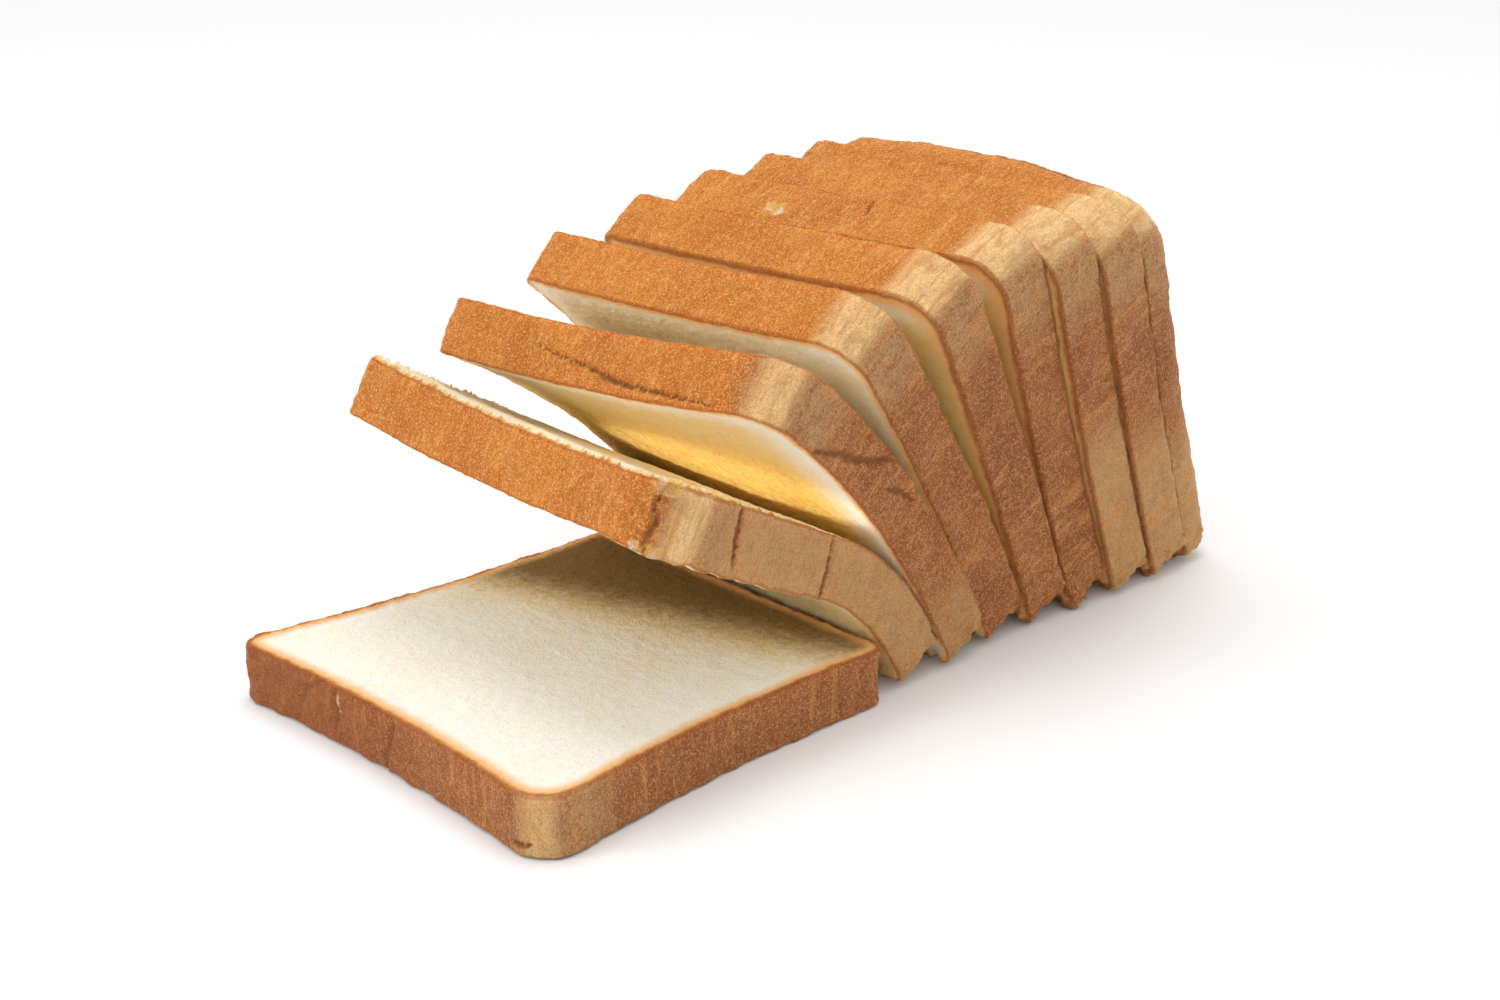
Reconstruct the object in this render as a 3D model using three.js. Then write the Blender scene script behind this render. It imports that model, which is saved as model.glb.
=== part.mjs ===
// A sliced tin loaf, fanned open: one slice has fallen flat, seven lean after it, and the heel stands last.
// Millimetres and degrees, +Z up. The loaf lies along Y with its open end towards -Y, and its heel towards +Y.
import * as THREE from "three";

// The loaf's cross-section. The tin draws in towards its base, and the baked sides cave in a little.
const topWidth = 122;
const bottomWidth = 109;
const sliceHeight = 115;
const sideCave = 3.4;
const nearTopRadius = 14; // the top corner on the +X side
const farTopRadius = 7;
const bottomRadius = 5;

// How thick the pieces are cut. The heel keeps the end crust, which is domed and rounded off all round.
const sliceThickness = 15.5;
const heelThickness = 16;
const heelRadius = 12;
const heelDome = 1.5;

// The gap that is left between two slices that touch.
const clearance = 0.3;

// How each slice lies, from the open end to the heel. Each pair is its +X edge and its -X edge.
//   lean   how far it leans forward from upright at its foot
//   bow    how much further it has leaned by its top
//   apart  how much further than the clearance its foot stands from the slice in front
//   bend   the stretch of its height over which it bows, as shares of the height
//   shift  how far it has slid towards +X
//   sag    how far the middle of its top hangs forward
//   dip    how far the middle of its top crust caves in
const slices = [
  { name: "slice_1", lean: [90, 90], bow: [0, 0], apart: [0, 0], shift: 1.5, sag: 0, dip: 3.5 },
  {
    name: "slice_2",
    lean: [28, 34],
    bow: [34.5, 26],
    apart: [0, 2],
    bend: [0.08, 0.4],
    shift: -1.5,
    sag: 2.5,
    dip: 2.5,
  },
  {
    name: "slice_3",
    lean: [26.5, 33],
    bow: [28, 30],
    apart: [0, 1],
    bend: [0.08, 0.95],
    shift: -0.8,
    sag: 2,
    dip: 1.5,
  },
  { name: "slice_4", lean: [23.5, 29], bow: [18.5, 18.5], apart: [0, 0], shift: -3, sag: 0.6, dip: 1.2 },
  { name: "slice_5", lean: [19, 24.5], bow: [15.5, 15.5], apart: [0, 0], shift: -2.4, sag: 0.3, dip: 1 },
  { name: "slice_6", lean: [18, 24], bow: [7.6, 8], apart: [0, 0], shift: -2.6, sag: 0, dip: 0.8 },
  { name: "slice_7", lean: [17.6, 21.5], bow: [7.6, 8], apart: [0, 0], shift: -0.5, sag: 0, dip: 0.6 },
  { name: "slice_8", lean: [17.4, 20.4], bow: [7.6, 7.6], apart: [0.4, 1], shift: 0.4, sag: 0, dip: 0.4 },
  { name: "heel", lean: [17.2, 18], bow: [7.6, 7], apart: [0.2, 0], shift: 0, sag: 0, dip: 0, heel: true },
];

// How finely each slice is divided, across, up and through.
const stepsAcross = 10;
const stepsUp = 12;
const heelArcSteps = 4;

const crustBrown = new THREE.MeshStandardMaterial({ color: 0xb9743c, roughness: 0.75, metalness: 0 });
const crumbCream = new THREE.MeshStandardMaterial({ color: 0xefe6cd, roughness: 0.95, metalness: 0 });

const radians = THREE.MathUtils.degToRad;
const between = THREE.MathUtils.lerp;
const wholeHeight = [0, 1];

// One edge of a slice, from its foot up: straight, then round an arc, then straight again.
function edgeOf(slice, side) {
  const [from, to] = slice.bend ?? wholeHeight;
  return {
    lean: radians(slice.lean[side]),
    bow: radians(slice.bow[side]),
    from: from * sliceHeight,
    to: to * sliceHeight,
  };
}

function leanAt(edge, up) {
  const share = THREE.MathUtils.clamp((up - edge.from) / (edge.to - edge.from), 0, 1);
  return edge.lean + edge.bow * share;
}

// Where the edge's front line is after a length `up` along it: how far forward, and how high.
function frontAt(edge, up) {
  const below = Math.min(up, edge.from);
  const along = THREE.MathUtils.clamp(up - edge.from, 0, edge.to - edge.from);
  const above = Math.max(up - edge.to, 0);
  const turned = leanAt(edge, up);
  const middle = (edge.lean + turned) / 2;
  const half = (turned - edge.lean) / 2;
  const chord = half === 0 ? along : (along * Math.sin(half)) / half;
  return {
    forward: below * Math.sin(edge.lean) + chord * Math.sin(middle) + above * Math.sin(turned),
    height: below * Math.cos(edge.lean) + chord * Math.cos(middle) + above * Math.cos(turned),
  };
}

// How far forward of its foot the edge's front line is at a height, found by halving.
function reachAt(edge, height) {
  let low = 0;
  let high = sliceHeight;
  for (let step = 0; step < 40; step++) {
    const middle = (low + high) / 2;
    if (frontAt(edge, middle).height < height) low = middle;
    else high = middle;
  }
  return frontAt(edge, low).forward;
}

// Each foot stands just behind the lifted back edge of the slice in front of it.
function feetOf(side) {
  const feet = [0];
  for (let i = 1; i < slices.length; i++) {
    const front = radians(slices[i - 1].lean[side]);
    const lifted = sliceThickness * Math.sin(front);
    const backEdge = feet[i - 1] + sliceThickness * Math.cos(front);
    const reach = reachAt(edgeOf(slices[i], side), lifted);
    feet.push(backEdge + reach + clearance + slices[i].apart[side]);
  }
  return feet;
}

// A point of the cut face: a square from -1 to 1 becomes the loaf's outline, ring by ring.
function onFace(slice, across, up) {
  const halfWidth = topWidth / 2;
  const halfHeight = sliceHeight / 2;
  const topRadius = across > 0 ? nearTopRadius : farTopRadius;
  const ring = Math.max(Math.abs(across), Math.abs(up));
  const radius = ring * (up > 0 ? topRadius : bottomRadius);
  const centre = new THREE.Vector2(ring * halfWidth - radius, ring * halfHeight - radius);
  const corner = new THREE.Vector2(Math.abs(across) * halfWidth, Math.abs(up) * halfHeight).sub(centre);
  if (corner.x > 0 && corner.y > 0) corner.setLength(radius);
  const x = Math.sign(across) * (centre.x + corner.x);
  const y = Math.sign(up) * (centre.y + corner.y) + halfHeight;

  const share = y / sliceHeight;
  const taper = ((topWidth - bottomWidth) / 2) * (1 - share);
  const cave = sideCave * 4 * share * (1 - share);
  const dip = slice.dip * share * (1 - (x / halfWidth) ** 2);
  return { x: x * (1 - (taper + cave) / halfWidth), y: y - dip };
}

// Moves a flat piece's point to where the slice lies: x across, y up the slice, deep from its front face.
function lay(slice, feet, x, y, deep) {
  const far = (topWidth / 2 - x) / topWidth;
  const [near, other] = [edgeOf(slice, 0), edgeOf(slice, 1)];
  const edge = { ...near, lean: between(near.lean, other.lean, far), bow: between(near.bow, other.bow, far) };
  const foot = between(feet[0], feet[1], far);
  const front = frontAt(edge, y);
  const lean = leanAt(edge, y);
  const sag = slice.sag * (y / sliceHeight) ** 2 * (1 - (2 * x / topWidth) ** 2);
  const depth = deep - sag;
  return new THREE.Vector3(
    slice.shift + x,
    foot - front.forward + depth * Math.cos(lean),
    front.height + depth * Math.sin(lean),
  );
}

// The heel's depth and how far its outline has drawn in, at a step from the cut face to the end crust.
function heelStep(step) {
  const angle = (Math.max(step - 1, 0) / heelArcSteps) * (Math.PI / 2);
  return {
    depth: step === 0 ? 0 : heelThickness - heelRadius + heelRadius * Math.sin(angle),
    drawnIn: heelRadius * (1 - Math.cos(angle)),
  };
}

// A box is divided more finely towards its edges, rounded to the loaf's outline, and laid in place.
function sliceGeometry(slice, feet) {
  const through = slice.heel ? heelArcSteps + 1 : 1;
  const box = new THREE.BoxGeometry(2, 2, through, stepsAcross, stepsUp, through);
  const position = box.getAttribute("position");
  for (let i = 0; i < position.count; i++) {
    const across = Math.sin((position.getX(i) * Math.PI) / 2);
    const up = Math.sin((position.getY(i) * Math.PI) / 2);
    const step = through / 2 - position.getZ(i);
    const face = onFace(slice, across, up);
    let depth = step * sliceThickness;
    if (slice.heel) {
      const heel = heelStep(Math.round(step));
      const dome = heelDome * (1 - across ** 2) * (1 - up ** 2) * (heel.depth / heelThickness) ** 2;
      face.x *= 1 - (2 * heel.drawnIn) / topWidth;
      face.y = between(face.y, sliceHeight / 2, (2 * heel.drawnIn) / sliceHeight);
      depth = heel.depth + dome;
    }
    const laid = lay(slice, feet, face.x, face.y, depth);
    position.setXYZ(i, laid.x, laid.y, laid.z);
  }
  box.computeVertexNormals();
  return box;
}

// The crust band takes the first four sides of the box, and the two cut faces, or the heel's one, show crumb.
function materialsOf(slice) {
  const endFace = slice.heel ? crustBrown : crumbCream;
  return [crustBrown, crustBrown, crustBrown, crustBrown, crumbCream, endFace];
}

const loaf = new THREE.Group();
const [nearFeet, farFeet] = [feetOf(0), feetOf(1)];
slices.forEach((slice, i) => {
  const mesh = new THREE.Mesh(sliceGeometry(slice, [nearFeet[i], farFeet[i]]), materialsOf(slice));
  mesh.name = slice.name;
  loaf.add(mesh);
});

// The origin is on the surface that the loaf rests on, under the middle of its bounding box.
const box = new THREE.Box3().setFromObject(loaf, true);
const middle = box.getCenter(new THREE.Vector3());
loaf.position.set(-middle.x, -middle.y, -box.min.z);

export default loaf;
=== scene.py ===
import bmesh
import bpy
import math
import numpy as np
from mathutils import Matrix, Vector


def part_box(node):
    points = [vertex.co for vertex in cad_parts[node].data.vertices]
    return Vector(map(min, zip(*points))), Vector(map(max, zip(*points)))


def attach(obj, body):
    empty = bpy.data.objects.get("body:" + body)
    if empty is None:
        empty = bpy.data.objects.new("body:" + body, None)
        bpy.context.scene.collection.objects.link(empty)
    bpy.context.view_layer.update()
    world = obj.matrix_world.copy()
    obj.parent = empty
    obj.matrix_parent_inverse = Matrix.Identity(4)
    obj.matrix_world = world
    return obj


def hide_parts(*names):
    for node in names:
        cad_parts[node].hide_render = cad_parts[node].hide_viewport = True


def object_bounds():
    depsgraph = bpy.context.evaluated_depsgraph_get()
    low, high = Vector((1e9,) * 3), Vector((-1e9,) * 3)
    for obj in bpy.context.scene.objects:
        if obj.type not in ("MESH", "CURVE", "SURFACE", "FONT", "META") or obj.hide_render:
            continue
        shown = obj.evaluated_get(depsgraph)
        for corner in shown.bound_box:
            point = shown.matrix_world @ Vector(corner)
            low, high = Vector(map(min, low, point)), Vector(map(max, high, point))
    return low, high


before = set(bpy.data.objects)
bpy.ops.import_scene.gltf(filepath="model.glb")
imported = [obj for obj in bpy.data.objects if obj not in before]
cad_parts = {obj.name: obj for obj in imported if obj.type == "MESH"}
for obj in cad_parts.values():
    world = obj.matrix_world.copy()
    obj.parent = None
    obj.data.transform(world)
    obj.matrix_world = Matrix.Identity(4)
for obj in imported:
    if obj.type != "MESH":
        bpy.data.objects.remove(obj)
cad_low, cad_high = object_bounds()

# --------------------------------------------------------------------------------------------------
# The fallen slice.
# Soft white crumb in a thin baked crust. It is cut as a block from the loaf, its corners are rounded as
# the tin left them, its crust and crumb are roughened, and it lies on its front face on the table.
# --------------------------------------------------------------------------------------------------
loaf_width = 0.122
base_width = 0.109
loaf_height = 0.115
side_cave = 0.0034
cut_thickness = 0.0155
rim_softness = 0.0006
near_top_radius = 0.014
far_top_radius = 0.007
base_radius = 0.005
crumb_step = 0.00063


def round_corner(block, across, up, radius):
    """Rounds one of the four long corners of the block that the tin shaped."""
    bpy.ops.object.mode_set(mode="EDIT")
    bpy.ops.mesh.select_mode(type="EDGE")
    bpy.ops.mesh.select_all(action="DESELECT")
    shell = bmesh.from_edit_mesh(block.data)
    for edge in shell.edges:
        at_corner = [abs(v.co.x - across) < 1e-6 and abs(v.co.z - up) < 1e-6 for v in edge.verts]
        edge.select_set(all(at_corner))
    bmesh.update_edit_mesh(block.data)
    bpy.ops.mesh.bevel(offset=radius, segments=10, affect="EDGES")
    bpy.ops.object.mode_set(mode="OBJECT")


def soften_rims(block, start, thickness):
    """The knife leaves the crust's rim a little rounded where each cut face meets it."""
    bpy.ops.object.mode_set(mode="EDIT")
    bpy.ops.mesh.select_all(action="DESELECT")
    shell = bmesh.from_edit_mesh(block.data)
    for edge in shell.edges:
        ends = [v.co.y for v in edge.verts]
        on_front = all(abs(y - start) < 1e-6 for y in ends)
        on_back = all(abs(y - start - thickness) < 1e-6 for y in ends)
        edge.select_set(on_front or on_back)
    bmesh.update_edit_mesh(block.data)
    bpy.ops.mesh.bevel(offset=rim_softness, segments=2, affect="EDGES")
    bpy.ops.object.mode_set(mode="OBJECT")


def finish_with(piece, kind, name, **settings):
    """Adds a modifier to the piece and applies it."""
    modifier = piece.modifiers.new(name, kind)
    for key, value in settings.items():
        setattr(modifier, key, value)
    bpy.ops.object.select_all(action="DESELECT")
    piece.select_set(True)
    bpy.context.view_layer.objects.active = piece
    bpy.ops.object.modifier_apply(modifier=name)


def places_of(piece):
    """The piece's points, as an array."""
    flat = np.empty(len(piece.data.vertices) * 3, dtype=np.float32)
    piece.data.vertices.foreach_get("co", flat)
    return flat.reshape(-1, 3).astype(np.float64)


def move_to(piece, places):
    """Moves the piece's points to these places."""
    piece.data.vertices.foreach_set("co", places.astype(np.float32).ravel())
    piece.data.update()


def note(piece, name, values):
    """Keeps a number or a place at every point of the piece, for its material."""
    kind, entry = ("FLOAT", "value") if values.ndim == 1 else ("FLOAT_VECTOR", "vector")
    attribute = piece.data.attributes.new(name, kind, "POINT")
    attribute.data.foreach_set(entry, values.astype(np.float32).ravel())


def noted(piece, name):
    """The numbers that note kept under this name."""
    attribute = piece.data.attributes[name]
    values = np.empty(len(piece.data.vertices), dtype=np.float32)
    attribute.data.foreach_get("value", values)
    return values


def note_more(piece, name, values):
    """Adds to a number that is already kept, and keeps the larger of the two at each point."""
    if name in piece.data.attributes:
        values = np.maximum(values, noted(piece, name))
        piece.data.attributes.remove(piece.data.attributes[name])
    note(piece, name, values)


def loaf_places(piece):
    """Where each point stood in the whole loaf, before the slice was shaped and laid."""
    flat = np.empty(len(piece.data.vertices) * 3, dtype=np.float32)
    piece.data.attributes["loaf_place"].data.foreach_get("vector", flat)
    return flat.reshape(-1, 3).astype(np.float64)


def under_the_crust(places):
    """How deep each point of the block lies under the baked outside, seen along the loaf."""
    x, z = places[:, 0], places[:, 2] - loaf_height / 2
    top_radius = np.where(x > 0, near_top_radius, far_top_radius)
    radius = np.where(z > 0, top_radius, base_radius)
    out_x = np.abs(x) - (loaf_width / 2 - radius)
    out_z = np.abs(z) - (loaf_height / 2 - radius)
    outside = np.hypot(np.maximum(out_x, 0), np.maximum(out_z, 0))
    inside = np.minimum(np.maximum(out_x, out_z), 0)
    return np.maximum(radius - outside - inside, 0)


def step_between(low, high, values):
    """0 below low, 1 above high, and a smooth rise between."""
    share = np.clip((values - low) / (high - low), 0, 1)
    return share * share * (3 - 2 * share)


def as_the_tin_left_it(places, dip):
    """Draws the slice in towards its base, caves its sides in a little, and dips its crown."""
    half = loaf_width / 2
    share = places[:, 2] / loaf_height
    drawn_in = (loaf_width - base_width) / 2 * (1 - share) + side_cave * 4 * share * (1 - share)
    shaped = places.copy()
    shaped[:, 0] *= 1 - drawn_in / half
    shaped[:, 2] -= dip * share * (1 - (places[:, 0] / half) ** 2)
    return shaped


# How the crust and the crumb are uneven: how wide the lumps are and how far they stand, in metres, and
# which part of the slice they are on.
roughness_passes = [
    ("loaf waves", 0.022, 0.0011, "crust"),
    ("crust wrinkles", 0.0050, 0.0010, "crust"),
    ("crust blisters", 0.0018, 0.0005, "crust"),
    ("ragged foot", 0.0036, 0.0034, "foot"),
    ("knife waves", 0.017, 0.0007, "crumb"),
    ("crumb lumps", 0.0034, 0.0006, "crumb"),
    ("crumb pores", 0.0014, 0.0005, "crumb"),
]
for name, lump, _, _ in roughness_passes:
    texture = bpy.data.textures.new(name, "CLOUDS")
    texture.noise_scale = lump
    texture.noise_depth = 2

# How far the crust's roughness reaches: from and to a depth under the baked outside, in millimetres, and
# how much of it shows there.
crust_rings = [(0, 0.4, 1.0), (0.4, 1.0, 0.6), (1.0, 1.8, 0.25), (1.8, 99, 0.0)]

# How high the ragged foot reaches, in metres, and how ragged it is up to there.
foot_rings = [(0.006, 0.5), (0.003, 1.0)]


def roughen(piece, foot_share=1.0):
    """Pushes the crust and the crumb in and out by their own textures, and leaves the foot ragged."""
    under = noted(piece, "under")
    crust = piece.vertex_groups.new(name="crust")
    crumb = piece.vertex_groups.new(name="crumb")
    for low, high, weight in crust_rings:
        ring = np.flatnonzero((under >= low) & (under < high)).tolist()
        crust.add(ring, weight, "REPLACE")
        crumb.add(ring, 1 - weight, "REPLACE")
    height = loaf_places(piece)[:, 2]
    foot = piece.vertex_groups.new(name="foot")
    for top, weight in foot_rings:
        foot.add(np.flatnonzero(height < top).tolist(), weight * foot_share, "REPLACE")
    for name, _, depth, where in roughness_passes:
        finish_with(
            piece,
            "DISPLACE",
            name,
            texture=bpy.data.textures[name],
            texture_coords="LOCAL",
            strength=depth,
            mid_level=0.55,
            vertex_group=where,
        )


def cut_slice(name, start, thickness, dip):
    """One slice standing in its place in the loaf, its front face at start and its crown dipped."""
    bpy.ops.object.select_all(action="DESELECT")
    middle = (0, start + thickness / 2, loaf_height / 2)
    whole = (loaf_width, thickness, loaf_height)
    bpy.ops.mesh.primitive_cube_add(size=1, location=middle, scale=whole)
    block = bpy.context.object
    block.name = name
    bpy.ops.object.transform_apply(location=True, rotation=True, scale=True)
    round_corner(block, loaf_width / 2, loaf_height, near_top_radius)
    round_corner(block, -loaf_width / 2, loaf_height, far_top_radius)
    round_corner(block, loaf_width / 2, 0, base_radius)
    round_corner(block, -loaf_width / 2, 0, base_radius)
    soften_rims(block, start, thickness)
    finish_with(block, "REMESH", "crumb grid", mode="VOXEL", voxel_size=crumb_step)
    places = places_of(block)
    note(block, "loaf_place", places)
    note(block, "under", under_the_crust(places) * 1000)
    move_to(block, as_the_tin_left_it(places, dip))
    return block


def open_crack(piece, start, points, width, depth, seed):
    """Opens a crack in the crust, along a wandering line through points given in millimetres.

    Each point is across the slice, back from its front face, and up from its foot.
    """
    chance = np.random.default_rng(seed)
    line = np.array(points, dtype=float) / 1000
    line[:, 1] += start
    steps = 14 * (len(line) - 1)
    along = np.linspace(0, len(line) - 1, steps + 1)
    track = np.stack([np.interp(along, range(len(line)), line[:, i]) for i in range(3)], axis=1)
    track += chance.normal(0, width * 0.15, track.shape)
    place = loaf_places(piece)
    near = np.full(len(place), 1.0)
    for i, spot in enumerate(track):
        opening = width * (0.45 + 0.55 * math.sin(math.pi * (i + 1) / (len(track) + 1)))
        near = np.minimum(near, np.linalg.norm(place - spot, axis=1) / opening)
    crack = np.clip(1 - near, 0, 1)
    inwards = Vector((0, 0, loaf_height / 2)) - Vector(line.mean(axis=0))
    inwards.y = 0
    inwards.normalize()
    move_to(piece, places_of(piece) + np.outer(crack**0.7 * depth, inwards))
    note_more(piece, "crack", crack)


def tear_crust(piece, start, centre, size, proud, share, seed):
    """Tears a spot of the crust, so that crumb shows through. centre and size are in millimetres.

    proud is how far the torn spot stands out, or sinks in below 0, and share how much crumb shows.
    """
    chance = np.random.default_rng(seed)
    place = loaf_places(piece) - (0, start, 0)
    reach = (place * 1000 - np.array(centre)) / np.array(size)
    waves = [np.sin(place @ chance.normal(0, 900, 3) + chance.uniform(0, 6)) for _ in range(5)]
    jagged = sum(waves) * 0.09
    torn = step_between(1.0, 0.65, np.linalg.norm(reach, axis=1) + jagged)
    outwards = Vector((centre[0], 0, centre[2] - loaf_height * 500)).normalized()
    ragged = 0.5 + jagged
    move_to(piece, places_of(piece) + np.outer(torn * ragged * proud, outwards))
    note_more(piece, "torn", torn * share)


# Crust and crumb are one baked stuff, so one material covers a slice. It reads each point's place in the
# loaf and its depth under the crust, and goes from brown crust, through a golden band, to cream crumb.
crown_brown = (0.62, 0.210, 0.022, 1)
crown_dark = (0.48, 0.132, 0.010, 1)
crown_fleck = (0.86, 0.46, 0.14, 1)
# The side colours are partly the sides' own duller, redder brown, and partly painted shade.
side_brown_and_shade = (0.41, 0.142, 0.036, 1)
side_dark_and_shade = (0.27, 0.070, 0.013, 1)
side_fleck_and_shade = (0.66, 0.36, 0.15, 1)
pale_cream = (0.97, 0.66, 0.31, 1)
dull_tan_and_shade = (0.49, 0.275, 0.115, 1)
dull_brown = (0.40, 0.19, 0.065, 1)
straw_tan = (0.57, 0.32, 0.125, 1)
crack_brown = (0.29, 0.095, 0.023, 1)
rim_brown = (0.40, 0.150, 0.040, 1)
golden_band = (0.78, 0.42, 0.15, 1)
# The crumb's own gold tone, which is also the colour of its painted gold shade, and a deeper painted shade.
golden_crumb_and_shade = (0.77, 0.51, 0.11, 1)
deep_shade_crumb = (0.50, 0.27, 0.05, 1)
shaded_crumb = (0.17, 0.09, 0.020, 1)
streak_orange = (0.66, 0.27, 0.06, 1)
cream_crumb = (0.87, 0.84, 0.75, 1)
crumb_shade = (0.79, 0.74, 0.60, 1)


def bread_material():
    """Baked bread, crust and crumb, from what is kept at each point of a slice."""
    bread = bpy.data.materials.new("baked bread")
    bread.use_nodes = True
    nodes, links = bread.node_tree.nodes, bread.node_tree.links
    shader = nodes["Principled BSDF"]

    def kept(attribute, output="Fac"):
        node = nodes.new("ShaderNodeAttribute")
        node.attribute_name = attribute
        return node.outputs[output]

    def noise(size, detail=4.0, stretch=(1, 1, 1), turn=(0, 0, 0), wobble=0.0, shift=0.0):
        """Cloudy noise with lumps of this size in metres."""
        mapping = nodes.new("ShaderNodeMapping")
        mapping.inputs["Scale"].default_value = stretch
        mapping.inputs["Rotation"].default_value = turn
        mapping.inputs["Location"].default_value = (shift, shift, shift)
        links.new(kept("loaf_place", "Vector"), mapping.inputs["Vector"])
        node = nodes.new("ShaderNodeTexNoise")
        node.inputs["Scale"].default_value = 1 / size
        node.inputs["Detail"].default_value = detail
        node.inputs["Distortion"].default_value = wobble
        links.new(mapping.outputs["Vector"], node.inputs["Vector"])
        return node.outputs["Fac"]

    def between(value, low, high, to_low=0.0, to_high=1.0):
        node = nodes.new("ShaderNodeMapRange")
        node.interpolation_type = "SMOOTHSTEP"
        node.inputs["From Min"].default_value = low
        node.inputs["From Max"].default_value = high
        node.inputs["To Min"].default_value = to_low
        node.inputs["To Max"].default_value = to_high
        links.new(value, node.inputs["Value"])
        return node.outputs["Result"]

    def plus(value, other, times=1.0, less=0.0):
        """value + (other - less) * times."""
        node = nodes.new("ShaderNodeMath")
        node.operation = "MULTIPLY_ADD"
        links.new(other, node.inputs[0])
        node.inputs[1].default_value = times
        node.inputs[2].default_value = -less * times
        total = nodes.new("ShaderNodeMath")
        total.operation = "ADD"
        links.new(value, total.inputs[0])
        links.new(node.outputs[0], total.inputs[1])
        return total.outputs[0]

    def blend(share, under_colour, over_colour):
        node = nodes.new("ShaderNodeMix")
        node.data_type = "RGBA"
        sockets = [socket for socket in node.inputs if socket.type == "RGBA"]
        for socket, colour in zip(sockets, (under_colour, over_colour)):
            if isinstance(colour, tuple):
                socket.default_value = colour
            else:
                links.new(colour, socket)
        links.new(share, node.inputs["Factor"])
        return next(socket for socket in node.outputs if socket.type == "RGBA")

    broad = noise(0.020, detail=3, shift=0.3)
    mottle = noise(0.0045, detail=5, wobble=0.3)
    streaks = noise(0.0030, stretch=(1, 0.20, 1), turn=(0.65, 0, 0), wobble=0.5, shift=0.9)
    flecks = noise(0.0007, detail=3, stretch=(1, 0.55, 0.8), turn=(0.5, 0.3, 0.6), wobble=0.4)
    spots = noise(0.0021, detail=4, shift=0.7, wobble=0.8)
    grain = noise(0.0005, detail=2.5, shift=0.11)
    lumps = noise(0.0016, detail=4, shift=0.23)
    creases = noise(
        0.0016,
        detail=3,
        stretch=(1, 0.22, 1),
        turn=(0.45, 0, 0),
        wobble=0.6,
        shift=0.5,
    )
    fine = noise(0.0007, detail=3)

    # The crown is orange brown, and the sides are a duller and redder brown: partly their own colour, and
    # partly painted shade, as the sides face away from the light overhead.
    crown = blend(between(broad, 0.35, 0.70), crown_brown, crown_dark)
    side = blend(between(broad, 0.30, 0.75), side_brown_and_shade, side_dark_and_shade)
    on_side = between(plus(kept("down_the_side"), mottle, 8.0, 0.5), -3, 9)
    crust = blend(on_side, crown, side)
    fleck = blend(on_side, crown_fleck, side_fleck_and_shade)
    speck = blend(on_side, crown_dark, side_dark_and_shade)

    # Paler crust: cream round the near top corner, tan below it, and straw coloured at some feet. The tan
    # below the cream is partly its own colour and partly painted shade, where the pale crust turns down the
    # side.
    straw = between(plus(kept("straw"), mottle, 0.5, 0.5), 0.0, 1.0)
    crust = blend(straw, crust, straw_tan)
    speck = blend(straw, speck, dull_brown)
    crust = blend(between(plus(kept("dull_and_shade"), mottle, 0.5, 0.5), 0.0, 1.0), crust, dull_tan_and_shade)
    cream = between(plus(kept("cream"), mottle, 0.5, 0.5), 0.0, 1.0)
    crust = blend(cream, crust, pale_cream)
    speck = blend(cream, speck, dull_tan_and_shade)

    # Wrinkles, slanting streaks and creases, fine flecks, and a sandy grain over everything.
    crust = blend(between(mottle, 0.45, 0.70, 0, 0.45), crust, speck)
    crust = blend(between(streaks, 0.57, 0.66, 0, 0.60), crust, streak_orange)
    crust = blend(between(streaks, 0.43, 0.33, 0, 0.40), crust, speck)
    crust = blend(between(spots, 0.54, 0.68, 0, 0.30), crust, fleck)
    crust = blend(between(creases, 0.55, 0.72, 0, 0.35), crust, fleck)
    crust = blend(between(creases, 0.45, 0.30, 0, 0.40), crust, speck)
    crust = blend(between(flecks, 0.48, 0.68, 0, 0.38), crust, fleck)
    crust = blend(between(flecks, 0.50, 0.30, 0, 0.40), crust, speck)
    crust = blend(between(grain, 0.50, 0.32, 0, 0.60), crust, speck)
    crust = blend(between(grain, 0.55, 0.66, 0, 0.85), crust, fleck)

    # Painted shade: the crust is darkened on the fallen slice's crown, which faces sideways, and along the
    # rims of the cut faces, where the slices meet.
    crust = blend(kept("painted_crown_shade"), crust, side_dark_and_shade)
    cut_edge_shade = plus(kept("cut_edge_shade"), mottle, 1.0, 0.5)
    crust = blend(between(cut_edge_shade, 0.3, 1.0, 0, 0.45), crust, side_dark_and_shade)

    # The crumb is cream. It is painted gold where little light gets in, and brown where hardly any does:
    # painted shade.
    crumb = blend(between(fine, 0.40, 0.70, 0, 0.5), cream_crumb, crumb_shade)
    crumb = blend(between(lumps, 0.45, 0.30, 0, 0.7), crumb, crumb_shade)
    crumb = blend(between(broad, 0.45, 0.75, 0, 0.12), crumb, golden_crumb_and_shade)
    painted_golden_shade = plus(plus(kept("painted_golden_shade"), mottle, 0.3, 0.5), lumps, 0.5, 0.5)
    crumb = blend(between(painted_golden_shade, -0.05, 1.0), crumb, golden_crumb_and_shade)
    crumb = blend(between(painted_golden_shade, 0.80, 1.20), crumb, deep_shade_crumb)
    shaded = plus(kept("shaded"), lumps, 0.4, 0.5)
    crumb = blend(between(shaded, 0.0, 1.0, 0, 0.95), crumb, shaded_crumb)

    # From the crust inwards: a thin brown rim, a golden band, and the crumb.
    skin = plus(plus(kept("skin"), mottle, 2.2, 0.5), fine, 1.2, 0.5)
    inner = blend(between(skin, 2.5, 8.0), golden_band, crumb)
    inner = blend(between(skin, 1.2, 3.2), rim_brown, inner)
    colour = blend(between(skin, 0.6, 1.6), crust, inner)

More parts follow.
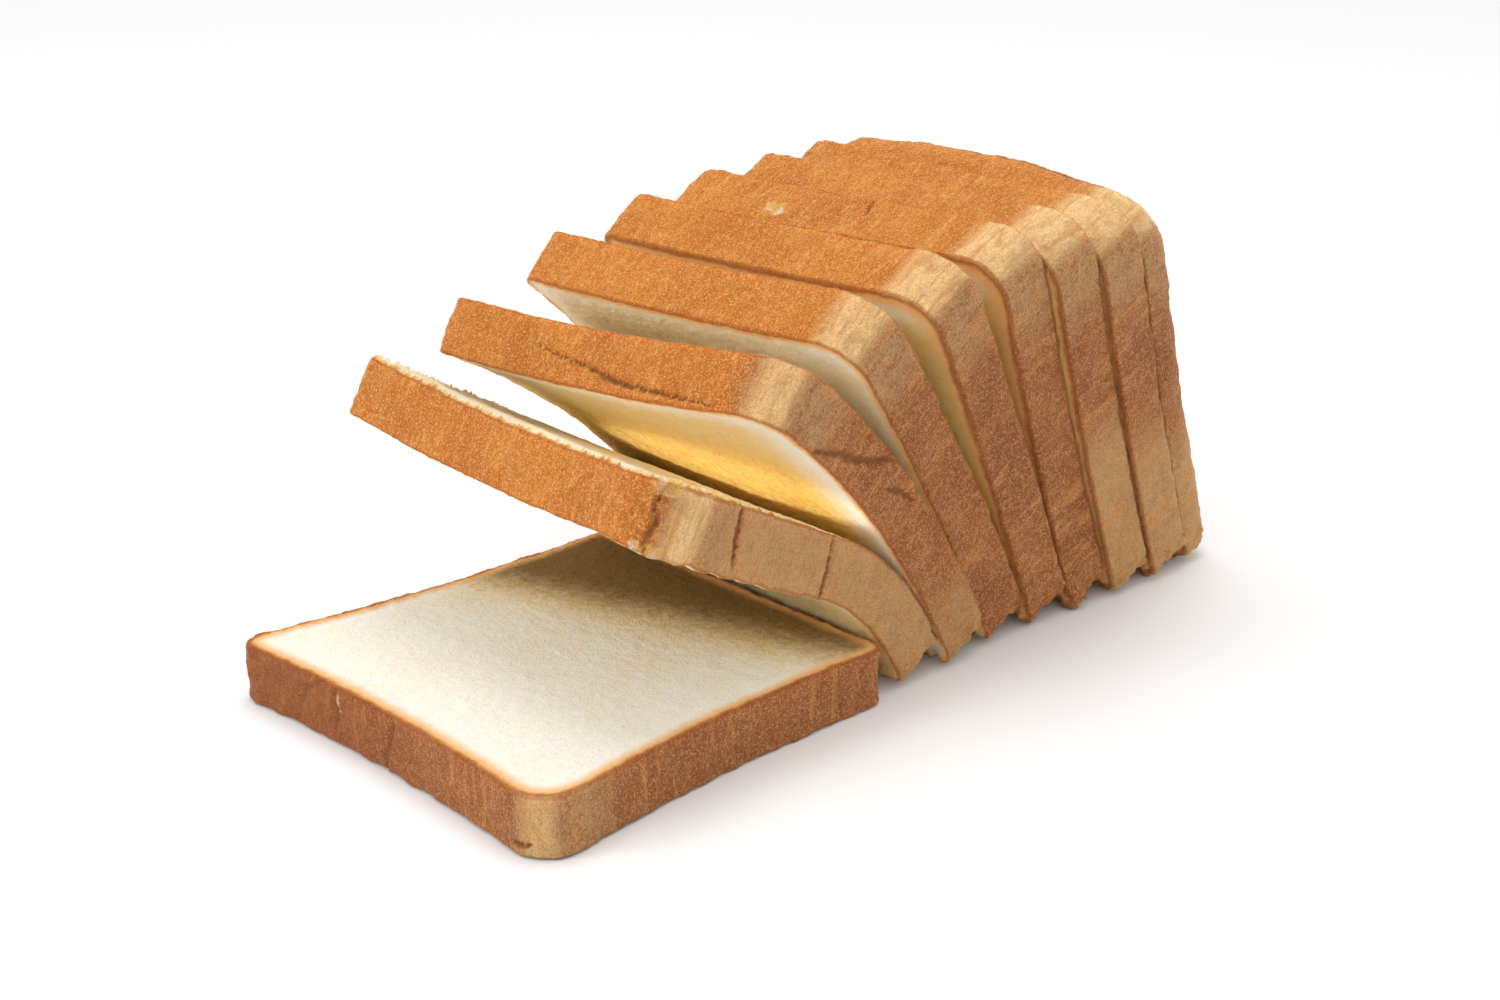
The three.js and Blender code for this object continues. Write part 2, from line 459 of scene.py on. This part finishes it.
    # Torn spots show crumb, and cracks are dark.
    torn = plus(kept("torn"), fine, 0.5, 0.5)
    flesh = blend(between(mottle, 0.35, 0.6), cream_crumb, golden_crumb_and_shade)
    colour = blend(between(torn, 0.2, 0.9), colour, flesh)
    colour = blend(between(kept("crack"), 0.25, 0.75), colour, crack_brown)
    links.new(colour, shader.inputs["Base Color"])

    # The crust is a little smoother than the crumb, which has open pores.
    links.new(between(skin, 0.3, 2.0, 0.65, 0.95), shader.inputs["Roughness"])
    shader.inputs["Specular IOR Level"].default_value = 0.25
    shader.inputs["Subsurface Weight"].default_value = 0.6
    shader.inputs["Subsurface Radius"].default_value = (1.0, 0.5, 0.15)
    shader.inputs["Subsurface Scale"].default_value = 0.006

    bump = nodes.new("ShaderNodeBump")
    bump.inputs["Distance"].default_value = 0.0013
    links.new(between(skin, 0.6, 3.0, 0.9, 0.45), bump.inputs["Strength"])
    links.new(plus(plus(flecks, fine, 0.8), lumps, 0.6), bump.inputs["Height"])
    links.new(bump.outputs["Normal"], shader.inputs["Normal"])
    return bread


bread = bread_material()


def down_the_side(place):
    """How far round the crust a point lies from the near end of the crown, in millimetres.

    It is below 0 on the crown. Down the far side it grows twice as fast, because that side is browner.
    """
    x, z = place[:, 0] * 1000, place[:, 2] * 1000
    corner_x, corner_z, radius = 47, 101, 14
    far_corner_x, far_corner_z = -54, 108
    base_top, base_down = 20, 123
    angle = np.arctan2(np.maximum(x - corner_x, 0), np.maximum(z - corner_z, 0.001))
    near_side = radius * angle + np.maximum(corner_z - z, 0)
    far_side = np.maximum(far_corner_z - z, 0) * 2
    down = np.where(x > corner_x, near_side, np.where(x < far_corner_x, far_side, x - corner_x))
    return np.where((z < base_top) & (x <= corner_x), base_down, down)


def dress(
    piece,
    node,
    painted_golden_shade,
    band=2.2,
    end=0.0,
    cream=(3, 14),
    cream_share=1.0,
    dull_and_shade_to=46,
    straw=(200, 220, 1),
):
    """Gives the piece its crust and crumb, and lets it stand for its CAD node.

    painted_golden_shade is how strongly the crumb is painted gold at each point, as painted shade, band how
    tightly the crust's brown band and its band of gold are drawn towards the outside, and end how far a
    point belongs to the end crust of the loaf.
    Distances down the near side are in millimetres: the crust is cream from the first to the second
    number of cream, a duller tan below it as far as dull_and_shade_to, partly painted shade, and turns to
    straw from the first to the second number of straw, as much as the third says. cream_share is how much of
    the cream shows.
    """
    place = loaf_places(piece)
    down = down_the_side(place)
    near = step_between(0.030, 0.046, place[:, 0]) * (1 - end)
    cream_top, cream_foot = cream
    from_above = step_between(cream_top - 6, cream_top + 5, down)
    in_cream = from_above * step_between(cream_foot + 5, cream_foot - 2, down)
    below_cream = step_between(cream_foot - 3, cream_foot + 4, down)
    in_dull_and_shade = below_cream * step_between(dull_and_shade_to, cream_foot + 8, down)
    straw_top, straw_foot, straw_share = straw
    note(piece, "down_the_side", down - max(cream_top - 5, 0) + (40 - down) * end)
    note(piece, "cream", cream_share * near * in_cream)
    note(piece, "dull_and_shade", near * in_dull_and_shade)
    note(piece, "straw", near * straw_share * step_between(straw_top, straw_foot, down))
    note(piece, "painted_golden_shade", painted_golden_shade)
    note(piece, "skin", noted(piece, "under") * band)

    # Every slice has two cut faces, and the heel has one.
    from_cut = (place[:, 1] - place[:, 1].min()) * 1000
    if node != "heel":
        from_cut = np.minimum(from_cut, from_cut.max() - from_cut)
    # Painted shade: the crust is darkened along the rims of its cut faces, where the slices meet.
    note(piece, "cut_edge_shade", step_between(1.3, 0.3, from_cut))

    # The crown of the fallen slice faces sideways, so it is painted in nearly the colours of its sides:
    # painted shade.
    if node == "slice_1":
        note_more(piece, "down_the_side", np.full(len(place), 8))
    for mark in ("crack", "torn", "shaded", "painted_crown_shade"):
        if mark not in piece.data.attributes:
            note(piece, mark, np.zeros(len(place)))
    piece.data.materials.clear()
    piece.data.materials.append(bread)
    bpy.ops.object.select_all(action="DESELECT")
    piece.select_set(True)
    bpy.context.view_layer.objects.active = piece
    bpy.ops.object.shade_smooth()
    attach(piece, "root")
    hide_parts(node)


fallen = cut_slice("fallen_slice", 0, cut_thickness, dip=0.0035)
roughen(fallen, foot_share=0)

# The cracks in its crown: the points of each, as open_crack takes them, its width, and its depth.
fallen_cracks = [
    ([(2, 15.5, 115), (0.8, 10.5, 115), (-1.8, 3, 115), (-2, 0, 115)], 0.0011, 0.0009),
    ([(-21, 14.5, 115), (-21.5, 8.5, 115), (-22.5, 4, 115)], 0.0014, 0.0011),
    ([(-26, 15.5, 115), (-33, 11, 115), (-36, 6, 115), (-38, 1, 115)], 0.0013, 0.0009),
    ([(48.5, 2.8, 115), (51, 2.5, 114.4), (54, 3.4, 113)], 0.0012, 0.0010),
]
for number, (points, width, depth) in enumerate(fallen_cracks):
    open_crack(fallen, 0, points, width, depth, seed=number)
tear_crust(fallen, 0, (-19.5, 11.5, 115), (1.2, 3.0, 3), 0.0005, 0.45, seed=6)

# It lies with its front face down and its foot towards the other slices.
flat = places_of(fallen)
node_low, node_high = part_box("slice_1")
shift = (node_low.x + node_high.x) / 2
laid = np.stack([flat[:, 0] + shift, node_high.y - flat[:, 2], flat[:, 1]], axis=1)
laid[:, 2] = np.maximum(laid[:, 2], 0)
move_to(fallen, laid)

# The second slice leans over its back part, and little light gets in under there. How far in a point
# lies is counted from a line that runs askew across it, some way in front of the second slice's foot.
line_y = -0.039
line_slope = 0.35
under_the_second = laid[:, 1] - line_y - line_slope * laid[:, 0]
# The crumb under there is painted gold, and dark brown further in, as painted shade.
sheltered_shade = step_between(-0.036, -0.004, under_the_second)
note(fallen, "shaded", step_between(-0.024, 0.010, under_the_second))

# Its crown is darkened as painted shade, most of all towards its far end, up to where the near corner
# begins.
on_crown = step_between(0.104, 0.110, flat[:, 2]) * step_between(0.050, 0.030, flat[:, 0])
to_far_end = step_between(0.03, -0.04, flat[:, 0])
note(fallen, "painted_crown_shade", on_crown * (0.15 + 0.45 * to_far_end))
dress(
    fallen,
    "slice_1",
    0.58 * sheltered_shade,
    band=1.35,
    cream=(4, 13),
    cream_share=0.65,
    dull_and_shade_to=40,
)

# --------------------------------------------------------------------------------------------------
# The slices that lean.
# Each stands on its foot and leans on the slice in front, bowing under its own weight. It is cut from
# the loaf behind the one before, then bent and twisted, with each edge leaning by its own amount.
# --------------------------------------------------------------------------------------------------


def foot_line(node):
    """Where the node's front edge meets the table, as a straight line across it."""
    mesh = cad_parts[node].data
    points = np.array([vertex.co for vertex in mesh.vertices])
    foot = points[points[:, 2] < 0.0002]
    return np.polyfit(foot[:, 0], foot[:, 1], 1)


def lean_over(piece, node, start, lean, bow, bend, shift, sag):
    """Bends the upright slice and sets its foot on its node's.

    lean and bow are in degrees, each at its near and its far edge, and bend is the stretch of its height
    over which it bows. shift is how far it has slid across, and sag how far its middle hangs forward.
    """
    flat = places_of(piece)
    half = loaf_width / 2
    far = (half - flat[:, 0]) / loaf_width
    foot_lean = np.radians(lean[0] + (lean[1] - lean[0]) * far)
    full_bow = np.radians(bow[0] + (bow[1] - bow[0]) * far)
    up = flat[:, 2]
    low, high = bend[0] * loaf_height, bend[1] * loaf_height
    along = np.clip(up - low, 0, high - low)
    turned = foot_lean + full_bow * along / (high - low)
    middle, spread = (foot_lean + turned) / 2, (turned - foot_lean) / 2
    chord = along * np.sinc(spread / math.pi)
    below, above = np.minimum(up, low), np.maximum(up - high, 0)
    forward = below * np.sin(foot_lean) + chord * np.sin(middle) + above * np.sin(turned)
    height = below * np.cos(foot_lean) + chord * np.cos(middle) + above * np.cos(turned)
    hanging = sag * (up / loaf_height) ** 2 * (1 - (flat[:, 0] / half) ** 2)
    depth = flat[:, 1] - start - hanging
    x = flat[:, 0] + shift
    slope, foot = foot_line(node)
    y = foot + slope * x - forward + depth * np.cos(turned)
    z = np.maximum(height + depth * np.sin(turned), 0)
    move_to(piece, np.stack([x, y, z], axis=1))


def fray(piece, start):
    """The knife has dragged this slice: crust hangs from its near front edge, and its back rim is frayed."""
    place = loaf_places(piece)
    x, y, z = place[:, 0], place[:, 1] - start, place[:, 2]
    under = noted(piece, "under")
    ragged = 0.8 + 0.15 * np.sin(z * 700)
    lip = step_between(0.040, 0.060, x) * step_between(0.005, 0.0, y) * step_between(0.03, 0.07, z)
    in_rim = step_between(0.0135, 0.0150, y) * step_between(0.6, 1.2, under)
    in_rim *= step_between(5.0, 2.5, under) * step_between(0.05, 0.09, z)
    fibres = np.random.default_rng(8).random(len(place)) ** 3
    moved = places_of(piece)
    moved[:, 1] += 0.0014 * in_rim * fibres - 0.0018 * lip * ragged
    move_to(piece, moved)


# Each slice from the second: its near and far lean, its near and far bow, where it bends as shares of
# its height, how far its middle hangs forward, and how deep its crown dips, in degrees and millimetres.
leaning = [
    ("slice_2", (28, 34), (34.5, 26), (0.08, 0.40), 2.5, 2.5),
    ("slice_3", (26.5, 33), (28, 30), (0.08, 0.95), 2.0, 1.5),
    ("slice_4", (23.5, 29), (18.5, 18.5), (0, 1), 0.6, 1.2),
    ("slice_5", (19, 24.5), (15.5, 15.5), (0, 1), 0.3, 1.0),
    ("slice_6", (18, 24), (7.6, 8), (0, 1), 0, 0.8),
    ("slice_7", (17.6, 21.5), (7.6, 8), (0, 1), 0, 0.6),
    ("slice_8", (17.4, 20.4), (7.6, 7.6), (0, 1), 0, 0.4),
]

# How much gold is painted on each slice's crumb as painted shade: less at the crown, and more near the foot.
golden_shade_share = {"slice_2": 0.4, "slice_4": 0.5}
usual_golden_shade_share = 0.75

# Where each slice's crust is paler, and how tight its bands are, as dress takes them.
paler = {
    "slice_2": {"cream": (15, 25), "dull_and_shade_to": 44, "straw": (20, 40, 0.9)},
    "slice_3": {"cream": (5.5, 15), "straw": (90, 112, 0.7)},
    "slice_4": {"cream": (2, 14)},
    "slice_5": {"cream": (-1, 13), "band": 1.0},
    "slice_6": {"cream": (-2, 13), "band": 1.0},
    "slice_7": {"cream": (-5, 12), "band": 1.0, "straw": (55, 90, 1)},
    "slice_8": {"cream": (-9, 12), "band": 1.0, "straw": (62, 96, 1)},
}

# The cracks in the crusts: the points of each, as open_crack takes them, its width, and its depth.
cracks = {
    "slice_2": [
        ([(61, 15.5, 85.8), (61, 12, 84.8), (61, 7, 83.7), (61, 2, 82)], 0.0015, 0.0011),
        ([(61, 15.5, 48.8), (61, 9.5, 47.5), (61, 4, 46.5), (61, 0, 45.8)], 0.0012, 0.0010),
        (
            [(57, 15.5, 110), (55.5, 10, 111.5), (57, 6, 110), (56, 2, 111.2), (57, 0, 110)],
            0.0013,
            0.0010,
        ),
    ],
    "slice_3": [
        (
            [(-22, 8.2, 115), (-1, 5.5, 115), (9, 3.4, 115), (26, 2.6, 115), (44, 1.6, 115)],
            0.0014,
            0.0013,
        ),
        (
            [
                (61, 1.2, 92),
                (61, 3, 87),
                (61, 5.5, 82),
                (61, 7.2, 76),
                (61, 10, 71),
                (61, 13, 67),
                (61, 15.5, 64),
            ],
            0.0017,
            0.0013,
        ),
        ([(61, 8.5, 60), (61, 11, 56), (61, 12, 51)], 0.0014, 0.0010),
    ],
    "slice_6": [([(6, 15.5, 115), (7, 12, 115), (8, 9, 115)], 0.0011, 0.0009)],
}

# The torn spots: the centre and the size of each, how far it stands out, and how much crumb shows.
tears = {
    "slice_2": [
        ((57, 14, 110), (4.5, 2.5, 5), 0.0006, 0.5),
        ((57, 1.0, 110), (5, 2.0, 5), 0.0009, 0.5),
    ],
    "slice_6": [
        ((-22, 5.5, 115), (5, 3.2, 3), -0.0008, 0.55),
        ((59, 3, 3), (6, 4, 4.5), 0.0045, 0.25),
    ],
}
for number, (node, lean, bow, bend, sag, dip) in enumerate(leaning, start=1):
    start = number * cut_thickness
    piece = cut_slice(node.replace("slice", "leaning_slice"), start, cut_thickness, dip / 1000)
    roughen(piece)
    if node == "slice_2":
        fray(piece, start)
    for points, width, depth in cracks.get(node, []):
        open_crack(piece, start, points, width, depth, seed=number)
    for centre, size, proud, share in tears.get(node, []):
        tear_crust(piece, start, centre, size, proud, share, seed=number)
    place = loaf_places(piece)
    node_low, node_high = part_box(node)
    shift = (node_low.x + node_high.x) / 2
    lean_over(piece, node, start, lean, bow, bend, shift, sag / 1000)
    below_crown = step_between(0.113, 0.098, place[:, 2])
    painted_golden_shade = golden_shade_share.get(node, usual_golden_shade_share) * (0.3 + 0.7 * below_crown)
    painted_golden_shade += 0.25 * step_between(0.06, 0.02, place[:, 2])

    # The third slice stands well off the second, so its front shows. Its painted shade leaves it nearly
    # cream under the crown and by the near side, and paints it a deeper gold further down.
    if node == "slice_3":
        painted_golden_shade = 0.25 + 0.40 * step_between(0.113, 0.100, place[:, 2])
        painted_golden_shade += 0.32 * step_between(0.098, 0.062, place[:, 2])
        painted_golden_shade *= 0.2 + 0.8 * step_between(0.060, 0.038, place[:, 0])
    dress(piece, node, painted_golden_shade, **paler[node])

# --------------------------------------------------------------------------------------------------
# The heel.
# The end of the loaf: crumb on its one cut face, and baked crust everywhere else. It is cut like a
# slice, then its back is drawn in and domed, as dough is that has filled the end of the tin.
# --------------------------------------------------------------------------------------------------
heel_thickness = 0.016
heel_radius = 0.012
heel_dome = 0.0015
heel_crown = 0.002
heel_start = (len(leaning) + 1) * cut_thickness
heel = cut_slice("heel_end", heel_start, heel_thickness, 0)
place = loaf_places(heel)

# Its end is baked too, so a point's depth under the crust is counted from whichever is nearer.
to_end = heel_start + heel_thickness - place[:, 1]
heel.data.attributes.remove(heel.data.attributes["under"])
note(heel, "under", np.minimum(under_the_crust(place), to_end) * 1000)

# It is rounded off towards its end, less so at the crown, which rises a little, and its end is domed.
round_share = np.clip((heel_radius - to_end) / heel_radius, 0, 1)
drawn_in = heel_radius * (1 - np.sqrt(1 - round_share**2))
shaped = places_of(heel)
across = 2 * place[:, 0] / loaf_width
at_crown = step_between(0.05, 0.11, place[:, 2]) * np.maximum(1 - across**2, 0)
shaped[:, 0] *= 1 - 2 * drawn_in / loaf_width
shaped[:, 2] += (loaf_height / 2 - shaped[:, 2]) * 2 * drawn_in * (1 - 0.6 * at_crown) / loaf_height
shaped[:, 2] += heel_crown * at_crown * step_between(0, heel_thickness, place[:, 1] - heel_start)
from_middle = (1 - across**2) * (1 - (2 * place[:, 2] / loaf_height - 1) ** 2)
shaped[:, 1] += heel_dome * from_middle * ((place[:, 1] - heel_start) / heel_thickness) ** 2
move_to(heel, shaped)
roughen(heel)
lean_over(heel, "heel", heel_start, lean=(17.2, 18), bow=(7.6, 7), bend=(0, 1), shift=0, sag=0)
end_crust = step_between(0.005, 0.001, to_end)
# The heel's crumb gets an even share of painted gold shade.
dress(
    heel,
    "heel",
    np.full(len(place), 0.6),
    end=end_crust,
    band=1.0,
    cream=(-12, 12),
    straw=(66, 100, 1),
)

# --------------------------------------------------------------------------------------------------
# The table, the light and the camera.
# A white table under plain soft light: a white room, one light overhead, and one in front and to the
# left. The camera looks down a little on the loaf's open end and its near side.
# --------------------------------------------------------------------------------------------------
bpy.ops.object.select_all(action="DESELECT")
bpy.ops.mesh.primitive_plane_add(size=8, location=(0, 0, cad_low.z - 0.0002))
table = bpy.context.object
table.name = "table_top"
table_white = bpy.data.materials.new("table white")
table_white.use_nodes = True
table_shader = table_white.node_tree.nodes["Principled BSDF"]
table_shader.inputs["Base Color"].default_value = (0.9, 0.9, 0.9, 1)
table_shader.inputs["Roughness"].default_value = 0.9
table.data.materials.append(table_white)

world = bpy.context.scene.world or bpy.data.worlds.new("studio")
bpy.context.scene.world = world
world.use_nodes = True
world.node_tree.nodes["Background"].inputs["Color"].default_value = (1, 1, 1, 1)
world.node_tree.nodes["Background"].inputs["Strength"].default_value = 0.9


def studio_light(name, stand, aim, size, power):
    """A soft round light that stands at one place and shines at another."""
    bpy.ops.object.light_add(type="AREA", location=stand)
    light = bpy.context.object
    light.name = name
    light.data.shape = "DISK"
    light.data.size = size
    light.data.energy = power
    light.rotation_euler = (Vector(aim) - Vector(stand)).to_track_quat("-Z", "Y").to_euler()
    return light


studio_light("overhead light", (-0.10, 0.10, 1.3), (0, 0, 0.03), 0.8, 6)
studio_light("front light", (-0.45, -1.1, 0.62), (0, -0.03, 0.06), 0.45, 4)

# Light that the second and the third slice throw back at each other where they gape. Three weak lights
# stand between them, about square to their faces: two shine up at the third slice, and one down at the
# second. Each has its place, which way it shines, its width, its length, and its power.
square_to_faces = Vector((0, 0.0243, 0.0437))
bounces = [
    ("bounce light", (0.006, -0.0445, 0.0590), 1, 0.090, 0.056, 0.0022),
    ("low bounce light", (0.008, -0.0265, 0.0472), 1, 0.100, 0.022, 0.0045),
    ("light on the second slice", (0.018, -0.0500, 0.0625), -1, 0.075, 0.080, 0.0026),
]
for name, stand, way, width, length, power in bounces:
    bounce = studio_light(name, stand, Vector(stand) + way * square_to_faces, width, power)
    bounce.data.shape = "ELLIPSE"
    bounce.data.size_y = length
    bounce.visible_camera = False

camera_aim = Vector((-0.0688, 0.0551, 0))
camera_turn = math.radians(46.34)
camera_rise = math.radians(21.06)
camera_distance = 0.6974
bpy.ops.object.camera_add()
camera = bpy.context.object
camera.data.lens = 54.53
camera.data.sensor_width = 36
towards = Vector(
    (
        math.sin(camera_turn) * math.cos(camera_rise),
        -math.cos(camera_turn) * math.cos(camera_rise),
        math.sin(camera_rise),
    )
)
camera.location = camera_aim + camera_distance * towards
camera.rotation_euler = towards.to_track_quat("Z", "Y").to_euler()
camera.data.clip_start = 0.01
bpy.context.scene.camera = camera
bpy.context.scene.view_settings.view_transform = "Standard"
